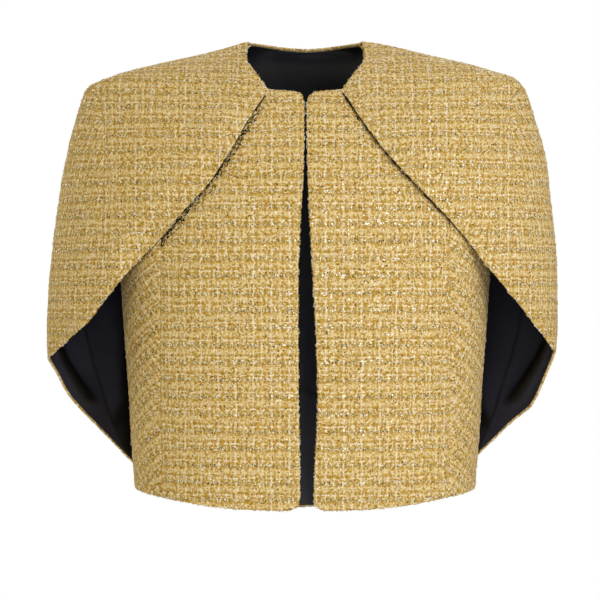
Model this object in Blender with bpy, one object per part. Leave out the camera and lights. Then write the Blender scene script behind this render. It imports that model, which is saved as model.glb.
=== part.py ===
"""Cropped tweed cape jacket in its worn, hollow form.

Metres, +Z up, the front faces -Y. The origin is on the shoulder line, in the
middle of the body. Left and right are as seen from the front.
"""

import math

import bmesh
import bpy
from mathutils import Vector

MM = 0.001

# Cloth
TWEED_THICKNESS = 2.4
LINING_THICKNESS = 1.0
LINING_SPACE = 0.6      # between the tweed's inner face and the lining
LINING_MARGIN = 3.0     # turned tweed that shows at neck and hem
SEAM_INSET = 0.2        # each panel stops this far from its seam

# Shoulder, neck and hem
NECK_POINT_HEIGHT = 25.3
SHOULDER_POINT_HEIGHT = -23.0
BACK_NECK_HEIGHT = 22.6
SEAM_END_HEIGHT = -252.0

# Jacket fronts under the cape
ARMHOLE_TOP_HEIGHT = -9.6
ARMHOLE_HEIGHT = -118.0  # from here down the fronts join the side panels
SIDE_BACK_SEAM = 160.0  # half width where the side panels meet the back
HEM_CORNER_RADIUS = 14.0

# Hook and eye
FASTENING_HEIGHT = -50.0
EYE_HALF_HEIGHT = 2.6
EYE_CORNER = 0.6
WIRE_DIAMETER = 1.0
WIRE_NEAR = 0.9         # from the cloth's inner face to the wire's middle
WIRE_FAR = 2.5
HOOK_TIP = 0.7

# Grid
CROWN_COLUMNS = 6       # half of the side panel's rounded top
SIDE_ROWS = 14
RIDGE_COLUMNS = 10
NECK_COLUMNS = 8
JACKET_ROWS = 14
ARMHOLE_ROWS = 6
NECKLINE_ROWS = 8
FRONT_COLUMNS = 13
SIDE_COLUMNS = 12
PANEL_ROWS = CROWN_COLUMNS + SIDE_ROWS
FRONT_ROWS = ARMHOLE_ROWS + JACKET_ROWS
SHARP_DEGREES = 50
DROP_EASE = 2.3         # rows crowd together towards the shoulder
NECK_EASE = 1.4


def table(columns, *rows):
    """Named columns of a table whose first column rises."""
    ordered = sorted(rows)
    return {name: [row[i] for row in ordered] for i, name in enumerate(columns)}


# Sections of the cape, from hem to neck. A section is |x / half_width| ** flat
# + |y / depth| ** fold = 1, with its own depth and flatness before and behind.
CAPE = table(
    ("height", "half_width", "front_depth", "back_depth", "front_flat", "back_flat", "fold"),
    (-500.0, 236.0, 138.0, 113.0, 1.8, 2.2, 1.90),
    (-400.0, 262.0, 142.0, 111.0, 1.8, 2.2, 1.85),
    (-345.0, 275.5, 146.0, 110.0, 1.6, 2.2, 1.70),
    (-322.0, 279.5, 148.0, 110.0, 1.6, 2.2, 1.70),
    (-290.0, 281.0, 149.0, 111.0, 1.6, 2.2, 1.75),
    (-250.0, 280.0, 149.0, 112.0, 1.6, 2.2, 1.85),
    (-205.0, 276.8, 147.0, 113.0, 1.65, 2.2, 1.90),
    (-156.0, 271.0, 140.0, 112.0, 1.70, 2.2, 1.92),
    (-103.0, 263.5, 122.0, 108.0, 1.75, 2.2, 1.95),
    (-64.0, 253.0, 99.0, 102.0, 1.80, 2.1, 2.0),
    (-35.0, 244.0, 76.5, 95.0, 1.85, 2.1, 2.0),
    (-24.0, 239.5, 66.5, 90.0, 1.9, 2.0, 2.0),
    (-15.4, 227.0, 57.5, 86.0, 1.9, 2.0, 2.0),
    (-6.6, 200.0, 46.5, 81.0, 1.9, 2.0, 2.0),
    (2.2, 166.7, 35.0, 75.0, 2.0, 2.0, 2.0),
    (11.0, 127.0, 22.0, 68.0, 2.0, 2.0, 2.0),
    (19.8, 91.0, 10.0, 64.0, 2.0, 2.0, 2.0),
    (22.6, 79.0, 6.0, 60.5, 2.0, 2.0, 2.0),
    (24.2, 71.0, 4.0, 56.5, 2.0, 2.0, 2.0),
    (NECK_POINT_HEIGHT, 62.0, 2.5, 51.0, 2.0, 2.0, 2.0),
    (26.5, 50.0, 1.0, 45.0, 2.0, 2.0, 2.0),
)

# Sections of the jacket under it. Its back is worked out from the back panel.
JACKET = table(
    ("height", "half_width", "front_depth", "flat", "fold"),
    (-480.0, 185.5, 134.0, 2.6, 2.4),
    (-430.0, 189.0, 136.5, 2.6, 2.4),
    (-355.0, 193.7, 139.0, 2.6, 2.4),
    (-290.0, 198.5, 140.0, 2.6, 2.4),
    (-240.0, 201.6, 140.0, 2.6, 2.4),
    (-190.0, 206.0, 137.0, 2.5, 2.35),
    (-150.0, 212.0, 127.5, 2.4, 2.2),
    (-103.0, 222.0, 109.5, 2.2, 2.1),
    (-64.0, 232.0, 90.0, 2.0, 2.0),
    (-40.0, 236.0, 74.5, 1.9, 2.0),
    (-28.6, 234.0, 62.0, 1.9, 2.0),
    (-20.0, 222.0, 51.0, 1.9, 2.0),
    (-11.2, 196.0, 41.0, 1.9, 2.0),
    (-2.4, 163.0, 29.5, 2.0, 2.0),
    (6.4, 123.0, 16.5, 2.0, 2.0),
    (15.2, 88.0, 5.5, 2.0, 2.0),
    (20.9, 60.0, 1.0, 2.0, 2.0),
)

# How far the middle of the cape hangs to one side
LEAN = table(
    ("height", "lean"),
    (-500.0, -2.0), (-430.0, -4.0), (-341.0, -4.2), (-300.0, -3.3), (-250.0, -2.5),
    (-205.0, -1.0), (-150.0, 0.0), (-104.0, 1.5), (-64.0, 0.5), (-23.0, 0.0), (-15.4, 3.5),
    (-6.6, 6.3), (2.2, 7.0), (16.0, 7.0), (22.6, 4.0), (25.3, 0.0), (26.5, 0.0),
)

# Front edge of the neckline, from the cape's corner up to the neck point
NECKLINE = table(
    ("height", "half_width"),
    (-35.3, 39.5), (-30.6, 40.8), (-20.6, 47.4), (-10.4, 56.3),
    (-0.4, 62.6), (9.4, 65.3), (19.8, 63.8), (NECK_POINT_HEIGHT, 62.0),
)

# Slanting front edge of the cape
CAPE_EDGE = table(
    ("height", "left", "right"),
    (-252.0, 202.0, 218.0), (-219.0, 177.0, 192.0), (-188.0, 144.5, 167.0),
    (-164.0, 124.0, 142.0), (-136.0, 99.5, 115.0), (-105.0, 81.0, 87.5),
    (-68.0, 61.0, 60.5), (-35.3, 39.5, 39.5),
)

# Front seam of the side panel: how far it lies before the shoulder line
FRONT_SEAM = table(
    ("height", "left", "right"),
    (-205.0, 84.0, 79.0), (-150.0, 76.0, 70.0), (-90.0, 60.0, 56.0),
    (-45.0, 35.0, 35.0), (-34.5, 25.0, 25.0), (-27.0, 13.0, 13.0), (-23.0, 0.0, 0.0),
)

# Back seam of the side panel: how far it lies behind the shoulder line
BACK_SEAM = table(
    ("height", "behind"),
    (-437.0, 70.0), (-393.0, 62.0), (-338.0, 55.0), (-289.0, 50.0), (-205.0, 47.0),
    (-150.0, 44.0), (-90.0, 41.0), (-46.0, 34.0), (-35.0, 25.0), (-27.0, 13.0), (-23.0, 0.0),
)

# Lower edge of the side panel, from the front seam past the tip to the back seam
SIDE_HEM = table(
    ("behind", "left", "right"),
    (-71.0, -284.0, -264.0), (-55.0, -298.0, -284.5), (-45.0, -306.5, -294.0),
    (-29.0, -315.5, -307.0), (-20.0, -319.5, -312.5), (0.0, -325.0, -318.0),
    (8.0, -331.0, -328.5), (16.0, -341.5, -347.5), (22.0, -355.0, -365.0),
    (29.0, -368.5, -378.5), (39.5, -382.5, -388.5), (49.0, -396.0, -399.0),
    (57.0, -410.0, -412.5), (64.0, -424.0, -425.0), (70.0, -437.0, -437.0),
)

# Hem of the back panel
BACK_HEM = table(
    ("half_width", "height"),
    (0.0, -497.0), (60.0, -494.0), (110.0, -486.5), (140.0, -477.5),
    (163.0, -466.0), (181.0, -453.0), (196.6, -437.0),
)

# Neckline of the jacket front from its neck point, by grid row
FRONT_NECK = table(
    ("row", "half_width", "height"),
    (0.0, 61.0, 20.6), (1.0, 64.0, 16.0), (2.0, 64.2, 3.0), (3.0, 55.5, -13.5),
    (4.0, 40.0, -33.2), (5.0, 23.0, -35.0), (6.0, 9.0, -36.6), (7.0, 4.0, -39.6),
    (8.0, 2.0, -47.5),
)

# Middle edges and hem of the jacket fronts, armhole and princess seams
MIDDLE_EDGE = table(
    ("height", "left", "right"),
    (-480.0, 4.2, 8.0), (-400.0, 5.6, 10.6), (-310.0, 6.2, 10.4), (-240.0, 6.4, 7.0),
    (-185.0, 3.6, 3.8), (-130.0, 1.2, 1.6), (-60.0, 1.0, 1.6), (-38.0, 1.8, 2.2),
)
FRONT_HEM = table(
    ("half_width", "height"),
    (0.0, -480.0), (60.0, -479.0), (98.0, -476.5), (130.0, -472.0), (152.0, -468.5),
)
PRINCESS_SEAM = table(
    ("height", "half_width"),
    (-480.0, 152.0), (-300.0, 154.0), (-200.0, 153.0), (-150.0, 157.0), (-118.0, 162.0),
    (-60.0, 167.0), (0.0, 165.0),
)
ARMHOLE = table(
    ("along", "height"),
    (0.0, ARMHOLE_HEIGHT), (0.25, -168.0), (0.5, -198.0), (0.75, -202.0), (1.0, -186.0),
)
SIDE_FRONT_HEM = table(
    ("along", "height"),
    (0.0, -468.5), (0.3, -465.0), (0.6, -463.0), (1.0, -465.0),
)

# Soft trough that the hem falls into behind each tip
TROUGH_DEPTH = 5.0
TROUGH_BEHIND = 32.0
TROUGH_HALF_WIDTH = 14.0
TROUGH_TOP = -250.0
TROUGH_FULL = -340.0

TWEED_COLOUR = (0.58, 0.43, 0.17, 1.0)
LINING_COLOUR = (0.012, 0.012, 0.014, 1.0)
METAL_COLOUR = (0.62, 0.62, 0.60, 1.0)


def secants(xs, ys):
    """Slope of each stretch between neighbouring points."""
    return [(ys[i + 1] - ys[i]) / (xs[i + 1] - xs[i]) for i in range(len(xs) - 1)]


def smooth(xs, ys, x):
    """Cubic through the points that never overshoots them, straight past its ends."""
    slopes = secants(xs, ys)
    if x <= xs[0]:
        return ys[0] + slopes[0] * (x - xs[0])
    if x >= xs[-1]:
        return ys[-1] + slopes[-1] * (x - xs[-1])
    i = max(k for k in range(len(slopes)) if xs[k] <= x)

    def tangent(k):
        if k in (0, len(xs) - 1):
            return slopes[0] if k == 0 else slopes[-1]
        before, after = slopes[k - 1], slopes[k]
        return 0.0 if before * after <= 0 else 2 * before * after / (before + after)

    width = xs[i + 1] - xs[i]
    t = (x - xs[i]) / width
    return (ys[i] * (1 + 2 * t) * (1 - t) ** 2 + ys[i + 1] * t * t * (3 - 2 * t)
            + width * t * (1 - t) * (tangent(i) * (1 - t) - tangent(i + 1) * t))


def read(columns, name, x):
    """Value of one column at x along the table's first column."""
    return smooth(next(iter(columns.values())), columns[name], x)


def cape_section(y, height):
    """Half width, depth, flatness and fold of the cape before or behind the shoulder."""
    part = "front" if y < 0 else "back"
    return (read(CAPE, "half_width", height), read(CAPE, part + "_depth", height),
            read(CAPE, part + "_flat", height), read(CAPE, "fold", height))


def rest(ratio, power, root):
    """The other coordinate's ratio on a section."""
    return max(0.0, 1 - min(1.0, abs(ratio)) ** power) ** (1 / root)


def lean(height):
    return read(LEAN, "lean", height)


def cape_front_point(x, height):
    half, depth, flat, fold = cape_section(-1, height)
    return Vector((x, -depth * rest((x - lean(height)) / half, flat, fold), height))


def cape_back_point(x, height):
    half, depth, flat, fold = cape_section(1, height)
    return Vector((x, depth * rest((x - lean(height)) / half, flat, fold), height))


def cape_side_point(side, y, height):
    half, depth, flat, fold = cape_section(y, height)
    return Vector((lean(height) + side * half * rest(y / depth, fold, flat), y, height))


def cape_level(point):
    half, depth, flat, fold = cape_section(point.y, point.z)
    across = abs(point.x - lean(point.z))
    return (across / half) ** flat + (abs(point.y) / depth) ** fold


def side_back_seam_point(height):
    """Where the jacket's side panel comes to rest inside the back lining."""
    point = cape_back_point(SIDE_BACK_SEAM, height)
    depth_of_layers = TWEED_THICKNESS + 2 * LINING_SPACE + LINING_THICKNESS
    return point - outward(cape_level, point) * depth_of_layers


def jacket_section(y, height):
    """Half width, depth, flatness and fold of the jacket before or behind its side."""
    half = read(JACKET, "half_width", height)
    if y <= 0 or height > ARMHOLE_HEIGHT:
        return (half, read(JACKET, "front_depth", height), read(JACKET, "flat", height),
                read(JACKET, "fold", height))
    seam = side_back_seam_point(height)
    return half, seam.y / rest(seam.x / half, 2, 2), 2.0, 2.0


def jacket_front_point(x, height):
    half, depth, flat, fold = jacket_section(-1, height)
    return Vector((x, -depth * rest(x / half, flat, fold), height))


def jacket_level(point):
    half, depth, flat, fold = jacket_section(point.y, point.z)
    return (abs(point.x) / half) ** flat + (abs(point.y) / depth) ** fold


def outward(level, point):
    """Unit normal of a level surface."""
    step = 0.25
    slope = Vector((0, 0, 0))
    for axis in range(3):
        ahead, behind = point.copy(), point.copy()
        ahead[axis] += step
        behind[axis] -= step
        slope[axis] = level(ahead) - level(behind)
    return slope.normalized()


def trough(point):
    """How far the cloth dips inwards behind a tip."""
    if point.y <= 0:
        return 0.0
    reach = (TROUGH_TOP - point.z) / (TROUGH_TOP - TROUGH_FULL)
    reach = min(1.0, max(0.0, reach))
    across = (point.y - TROUGH_BEHIND) / TROUGH_HALF_WIDTH
    return TROUGH_DEPTH * reach * reach * (3 - 2 * reach) * math.exp(-across * across)


def blend(start, end, share):
    return tuple(a + (b - a) * share for a, b in zip(start, end))


def patch(top, bottom, left, right, ease=1.0):
    """Surface in a flat chart between four edges, rows crowded towards the top."""
    def place(u, v):
        w = v ** ease
        down = blend(top(u), bottom(u), w)
        across = blend(left(v), right(v), u)
        corners = blend(blend(top(0), top(1), u), blend(bottom(0), bottom(1), u), w)
        return tuple(a + b - c for a, b, c in zip(down, across, corners))
    return place


def panel(name, columns, rows, place, level, material, thickness=TWEED_THICKNESS,
          under=0.0, insets=(SEAM_INSET,) * 4, dip=None):
    """A closed cloth wall: a grid laid on the surface and thickened inwards.

    place(u, v) gives points on the outer surface, u across and v down. insets are
    for the sides u=0, u=1, v=0 and v=1.
    """
    mesh = bmesh.new()
    bmesh.ops.create_grid(mesh, x_segments=columns, y_segments=rows, size=0.5)
    grid = {}
    for vert in mesh.verts:
        i = round((vert.co.x + 0.5) * columns)
        j = round((vert.co.y + 0.5) * rows)
        grid[i, j] = vert
    points = {(i, j): place(i / columns, j / rows) for i, j in grid}
    shift = {key: Vector((0, 0, 0)) for key in grid}
    for i, j in grid:
        if i in (0, columns):
            inner = points[(1 if i == 0 else columns - 1), j] - points[i, j]
            shift[i, j] += inner.normalized() * insets[0 if i == 0 else 1]
        if j in (0, rows):
            inner = points[i, (1 if j == 0 else rows - 1)] - points[i, j]
            shift[i, j] += inner.normalized() * insets[2 if j == 0 else 3]
    normals = {}
    for key, vert in grid.items():
        normal = outward(level, points[key])
        sunk = under + (dip(points[key]) if dip else 0.0)
        normals[vert] = normal
        vert.co = points[key] + shift[key] - normal * sunk
    faces = list(mesh.faces)
    middle = faces[len(faces) // 2]
    middle.normal_update()
    if middle.normal.dot(normals[middle.verts[0]]) < 0:
        bmesh.ops.reverse_faces(mesh, faces=faces)
    outer = {tuple(round(c, 5) for c in vert.co): normals[vert] for vert in mesh.verts}
    wall = bmesh.ops.extrude_face_region(mesh, geom=faces)
    copies = [item for item in wall["geom"] if isinstance(item, bmesh.types.BMVert)]
    for vert in copies:
        vert.co -= outer[tuple(round(c, 5) for c in vert.co)] * thickness
    bmesh.ops.recalc_face_normals(mesh, faces=mesh.faces)
    for face in mesh.faces:
        face.smooth = True
    bmesh.ops.scale(mesh, vec=(MM, MM, MM), verts=mesh.verts)
    finish(name, mesh, material)


def finish(name, mesh, material):
    data = bpy.data.meshes.new(name)
    mesh.to_mesh(data)
    mesh.free()
    data.set_sharp_from_angle(angle=math.radians(SHARP_DEGREES))
    data.materials.append(material)
    piece = bpy.data.objects.new(name, data)
    bpy.data.collections["cape_jacket"].objects.link(piece)


def material(name, colour, roughness, metallic=0.0):
    made = bpy.data.materials.new(name)
    made.use_nodes = True
    shader = made.node_tree.nodes["Principled BSDF"]
    shader.inputs["Base Color"].default_value = colour
    shader.inputs["Roughness"].default_value = roughness
    shader.inputs["Metallic"].default_value = metallic
    made.diffuse_color = colour
    return made


def side_name(side):
    return "left" if side < 0 else "right"


# Seams that two panels share

def ridge(side, t):
    """Shoulder seam from the neck point (0) to the shoulder point (1): x and height."""
    height = NECK_POINT_HEIGHT + (SHOULDER_POINT_HEIGHT - NECK_POINT_HEIGHT) * t
    return lean(height) + side * read(CAPE, "half_width", height), height


def front_seam(side, t):
    """Front seam of the side panel from shoulder (0) to slanting edge (1): y and height."""
    height = SHOULDER_POINT_HEIGHT + (SEAM_END_HEIGHT - SHOULDER_POINT_HEIGHT) * t ** DROP_EASE
    if height < FRONT_SEAM["height"][0]:
        end_x = read(CAPE_EDGE, side_name(side), SEAM_END_HEIGHT)
        end_y = -cape_front_point(end_x, SEAM_END_HEIGHT).y
        start = FRONT_SEAM["height"][0]
        share = (height - start) / (SEAM_END_HEIGHT - start)
        return -(FRONT_SEAM[side_name(side)][0] * (1 - share) + end_y * share), height
    return -read(FRONT_SEAM, side_name(side), height), height


def back_seam(t):
    """Back seam of the side panel from shoulder (0) to hem (1): y and height."""
    end = BACK_SEAM["height"][0]
    height = SHOULDER_POINT_HEIGHT + (end - SHOULDER_POINT_HEIGHT) * t ** DROP_EASE
    return read(BACK_SEAM, "behind", height), height


def side_hem(side, t):
    """Lower edge of the side panel from its front seam (0) to its back seam (1)."""
    start_y = front_seam(side, 1)[0]
    ys = [start_y] + SIDE_HEM["behind"]
    heights = [SEAM_END_HEIGHT] + SIDE_HEM[side_name(side)]
    end_y = ys[-1]
    y = start_y * (1 - 2 * t) if t < 0.5 else end_y * (2 * t - 1)
    return y, smooth(ys, heights, y)


# Cape

def cape_front(side, tweed):
    def top(u):
        return ridge(side, u)

    def bottom(u):
        height = CAPE_EDGE["height"][-1] * (1 - u) + SEAM_END_HEIGHT * u
        return side * read(CAPE_EDGE, side_name(side), height), height

    def left(v):
        height = NECK_POINT_HEIGHT + (CAPE_EDGE["height"][-1] - NECK_POINT_HEIGHT) * v ** NECK_EASE
        return side * read(NECKLINE, "half_width", height), height

    def right(v):
        point = cape_side_point(side, *front_seam(side, v))
        return point.x, point.z

    chart = patch(top, bottom, left, right, DROP_EASE)

    def place(u, v):
        if v == 0:
            x, height = ridge(side, u)
            return Vector((x, 0, height))
        if u == 1:
            return cape_side_point(side, *front_seam(side, v))
        return cape_front_point(*chart(u, v))

    panel("cape_front_" + side_name(side), RIDGE_COLUMNS, PANEL_ROWS, place, cape_level, tweed,
          insets=(0, SEAM_INSET, SEAM_INSET, 0))


def cape_side_place(side, margin=0.0):
    """Points of a side panel, its lower edge raised by a margin."""
    crown = CROWN_COLUMNS / PANEL_ROWS

    def top(u):
        if u < 0.5:
            return front_seam(side, crown * (1 - 2 * u))
        return back_seam(crown * (2 * u - 1))

    def bottom(u):
        y, height = side_hem(side, u)
        return y, height + margin

    def left(v):
        y, height = front_seam(side, crown + (1 - crown) * v)
        return y, height + margin * v

    def right(v):
        y, height = back_seam(crown + (1 - crown) * v)
        return y, height + margin * v

    chart = patch(top, bottom, left, right)
    return lambda u, v: cape_side_point(side, *chart(u, v))


def cape_side(side, tweed, satin):
    panel("cape_side_" + side_name(side), 2 * CROWN_COLUMNS, SIDE_ROWS, cape_side_place(side),
          cape_level, tweed, insets=(SEAM_INSET, SEAM_INSET, SEAM_INSET, 0), dip=trough)
    panel("side_lining_" + side_name(side), 2 * CROWN_COLUMNS, SIDE_ROWS,
          cape_side_place(side, LINING_MARGIN), cape_level, satin, thickness=LINING_THICKNESS,
          under=TWEED_THICKNESS + LINING_SPACE, insets=(SEAM_INSET,) * 3 + (0,), dip=trough)


def back_place(margin=0.0):
    """Points of the back, its neck and hem edges drawn in by a margin."""
    columns = 2 * RIDGE_COLUMNS + NECK_COLUMNS
    ridge_share = RIDGE_COLUMNS / columns

    def top(u):
        side = -1 if u < 0.5 else 1
        along = min(u, 1 - u)
        if along <= ridge_share:
            return ridge(side, 1 - along / ridge_share)
        turn = (u - ridge_share) / (1 - 2 * ridge_share) * math.pi
        neck = read(CAPE, "half_width", NECK_POINT_HEIGHT)
        sink = (NECK_POINT_HEIGHT - BACK_NECK_HEIGHT + margin) * math.sin(turn) ** 2
        return -neck * math.cos(turn), NECK_POINT_HEIGHT - sink

    def bottom(u):
        offset = BACK_HEM["half_width"][-1] * (2 * u - 1)
        height = read(BACK_HEM, "height", abs(offset))
        return lean(height) + offset, height + margin

    def side_edge(side, v):
        point = cape_side_point(side, *back_seam(v))
        return point.x, point.z + margin * v

    chart = patch(top, bottom, lambda v: side_edge(-1, v), lambda v: side_edge(1, v), DROP_EASE)

    def place(u, v):
        if v == 0 and min(u, 1 - u) <= ridge_share + 1e-6:
            x, height = top(u)
            return Vector((x, 0, height))
        if u in (0, 1):
            y, height = back_seam(v)
            return cape_side_point(1 if u else -1, y, height + margin * v)
        return cape_back_point(*chart(u, v))
    return place


def back(tweed, satin):
    columns = 2 * RIDGE_COLUMNS + NECK_COLUMNS
    panel("back_panel", columns, PANEL_ROWS, back_place(), cape_level, tweed,
          insets=(SEAM_INSET,) * 3 + (0,))
    panel("back_lining", columns, PANEL_ROWS, back_place(LINING_MARGIN), cape_level, satin,
          thickness=LINING_THICKNESS, under=TWEED_THICKNESS + LINING_SPACE,
          insets=(SEAM_INSET,) * 3 + (0,))


# Jacket

def rounded(x, height, corner, radius, side):
    """Pull the cloth round a square lower corner into an arc."""
    across = radius - side * (x - corner[0])
    down = radius - (height - corner[1])
    if across <= 0 or down <= 0:
        return x, height
    pull = max(across, down) / math.hypot(across, down)
    return corner[0] + side * (radius - across * pull), corner[1] + radius - down * pull


def shoulder(u):
    """Shoulder of the jacket front from neck point to armhole: half width and height."""
    start = FRONT_NECK["height"][0]
    height = start + (ARMHOLE_TOP_HEIGHT - start) * u
    return read(JACKET, "half_width", height), height


def princess(v):
    """Armhole edge and princess seam from shoulder to hem: half width and height."""
    armhole_share = ARMHOLE_ROWS / FRONT_ROWS
    if v == 0:
        return shoulder(1)
    if v < armhole_share:
        share = (v / armhole_share) ** 2
        height = ARMHOLE_TOP_HEIGHT + (ARMHOLE_HEIGHT - ARMHOLE_TOP_HEIGHT) * share
    else:
        share = (v - armhole_share) / (1 - armhole_share)
        height = ARMHOLE_HEIGHT + (SIDE_FRONT_HEM["height"][0] - ARMHOLE_HEIGHT) * share
    return read(PRINCESS_SEAM, "half_width", height), height


def centre_front(side, tweed):
    name = side_name(side)
    hem_start = read(MIDDLE_EDGE, name, FRONT_HEM["height"][0])
    hem_corner = (side * hem_start, FRONT_HEM["height"][0])

    def top(u):
        x, height = shoulder(u)
        return side * x, height

    def bottom(u):
        x = hem_start + (PRINCESS_SEAM["half_width"][0] - hem_start) * u
        return side * x, read(FRONT_HEM, "height", x)

    def left(v):
        row = v * FRONT_ROWS
        if row <= NECKLINE_ROWS:
            return side * read(FRONT_NECK, "half_width", row), read(FRONT_NECK, "height", row)
        start = FRONT_NECK["height"][-1]
        last = FRONT_ROWS - 1
        if row > last:
            return hem_corner
        share = (row - NECKLINE_ROWS) / (last - NECKLINE_ROWS)
        height = start + (hem_corner[1] + HEM_CORNER_RADIUS - start) * share
        return side * read(MIDDLE_EDGE, name, height), height

    def right(v):
        x, height = princess(v)
        return side * x, height

    chart = patch(top, bottom, left, right, DROP_EASE)

    def place(u, v):
        x, height = chart(u, v)
        return jacket_front_point(*rounded(x, height, hem_corner, HEM_CORNER_RADIUS, side))

    panel("centre_front_" + name, FRONT_COLUMNS, FRONT_ROWS, place, jacket_level, tweed,
          insets=(0, SEAM_INSET, SEAM_INSET, 0))


def side_front(side, tweed):
    def place(u, v):
        top = read(ARMHOLE, "height", u)
        height = top + (read(SIDE_FRONT_HEM, "height", u) - top) * v
        half, depth, flat, fold = jacket_section(-1, height)
        seam_x = read(PRINCESS_SEAM, "half_width", height)
        start = math.asin(min(1.0, (seam_x / half) ** (flat / 2)))
        end = math.pi - math.asin(side_back_seam_point(height).x / half)
        turn = start + (end - start) * u
        if turn <= math.pi / 2:
            return Vector((side * half * math.sin(turn) ** (2 / flat),
                           -depth * math.cos(turn) ** (2 / fold), height))
        depth = jacket_section(1, height)[1]
        return Vector((side * half * math.sin(turn), -depth * math.cos(turn), height))

    panel("side_front_" + side_name(side), SIDE_COLUMNS, JACKET_ROWS, place, jacket_level, tweed,
          insets=(SEAM_INSET, 0, 0, 0))


def wire(name, route, metal):
    """Bent wire inside a front, its route as x, height and depth under the cloth."""
    points = []
    for x, height, depth in route:
        point = jacket_front_point(x, height)
        points.append(point - outward(jacket_level, point) * (TWEED_THICKNESS + depth))
    curve = bpy.data.curves.new(name, "CURVE")
    curve.dimensions = "3D"
    curve.bevel_depth = WIRE_DIAMETER / 2 * MM
    curve.bevel_resolution = 2
    curve.use_fill_caps = True
    spline = curve.splines.new("POLY")
    spline.points.add(len(points) - 1)
    for spot, point in zip(spline.points, points):
        spot.co = (*(point * MM), 1)
    curve.materials.append(metal)
    piece = bpy.data.objects.new(name, curve)
    bpy.data.collections["cape_jacket"].objects.link(piece)


def fastening(metal):
    """Hook on the right front, round the bar of the eye on the left front."""
    height, near, far = FASTENING_HEIGHT, WIRE_NEAR, WIRE_FAR
    low, high = height - EYE_HALF_HEIGHT, height + EYE_HALF_HEIGHT
    wire("neck_eye", [(-9.0, high, near), (0.2, high, near), (0.8, high - EYE_CORNER, near),
                      (0.8, low + EYE_CORNER, near), (0.2, low, near), (-9.0, low, near)], metal)
    wire("neck_hook", [(11.0, height, near), (7.0, height, near), (4.5, height, far),
                       (-0.8, height, far), (-2.0, height, 0.5 * (near + far)),
                       (-1.2, height, HOOK_TIP)], metal)


def main():
    for piece in list(bpy.data.objects):
        bpy.data.objects.remove(piece, do_unlink=True)
    collection = bpy.data.collections.new("cape_jacket")
    bpy.context.scene.collection.children.link(collection)
    tweed = material("tweed", TWEED_COLOUR, 0.85)
    satin = material("satin_lining", LINING_COLOUR, 0.35)
    metal = material("fastening_metal", METAL_COLOUR, 0.3, 1.0)
    back(tweed, satin)
    for side in (-1, 1):
        cape_front(side, tweed)
        cape_side(side, tweed, satin)
        centre_front(side, tweed)
        side_front(side, tweed)
    fastening(metal)


main()
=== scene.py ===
import math

import bmesh
import bpy
import numpy as np
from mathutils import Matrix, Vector


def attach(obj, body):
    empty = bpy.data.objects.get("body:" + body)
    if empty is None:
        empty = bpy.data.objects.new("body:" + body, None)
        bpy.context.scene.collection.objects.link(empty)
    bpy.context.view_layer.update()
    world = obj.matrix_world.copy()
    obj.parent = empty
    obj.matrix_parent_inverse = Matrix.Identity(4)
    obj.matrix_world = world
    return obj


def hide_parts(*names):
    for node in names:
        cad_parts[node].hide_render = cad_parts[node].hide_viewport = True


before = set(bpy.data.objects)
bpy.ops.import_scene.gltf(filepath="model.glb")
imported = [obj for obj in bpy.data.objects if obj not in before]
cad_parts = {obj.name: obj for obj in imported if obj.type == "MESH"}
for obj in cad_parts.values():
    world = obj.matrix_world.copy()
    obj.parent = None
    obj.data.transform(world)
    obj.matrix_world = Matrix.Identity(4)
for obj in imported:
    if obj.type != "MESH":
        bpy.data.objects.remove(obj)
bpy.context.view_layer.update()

# Cropped cape jacket in gold tweed, worn and hollow. Sizes here are in millimetres.
mm = 0.001
sides = (-1, 1)        # -1 is the left as seen from the front
print("frame loaded")


def columns(names, *rows):
    # a table as named columns, its first column rising
    return dict(zip(names.split(), np.array(sorted(rows), float).T))


def read(table, name, x):
    # cubic through a column's points that never overshoots them, straight past the ends
    xs, ys, x = next(iter(table.values())), table[name], np.asarray(x, float)
    slopes = np.diff(ys) / np.diff(xs)
    before, after = slopes[:-1], slopes[1:]
    turning = before * after <= 0
    inner = np.where(turning, 0, 2 * before * after / np.where(turning, 1, before + after))
    tangents = np.concatenate([slopes[:1], inner, slopes[-1:]])
    i = np.clip(np.searchsorted(xs, x, side="right") - 1, 0, len(slopes) - 1)
    width = xs[i + 1] - xs[i]
    t = (x - xs[i]) / width
    curve = ys[i] * (1 + 2 * t) * (1 - t) ** 2 + ys[i + 1] * t * t * (3 - 2 * t)
    curve = curve + width * t * (1 - t) * (tangents[i] * (1 - t) - tangents[i + 1] * t)
    straight = np.where(t < 0, ys[i] + slopes[i] * (x - xs[i]), ys[i + 1] + slopes[i] * (x - xs[i + 1]))
    return np.where((t < 0) | (t > 1), straight, curve)


cloth = dict(
    tweed=2.4, satin=1.0, space=0.6,   # walls, and the air between them
    margin=1.8,                        # turned tweed that shows beyond the lining
    rim=0.3,
    cell=2.9, satinCell=5.0, hiddenCell=4.0,
    facing=9.0,                        # tweed turned to the inside along free edges
    pitch=4.5,                         # from yarn to yarn
)

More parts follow.
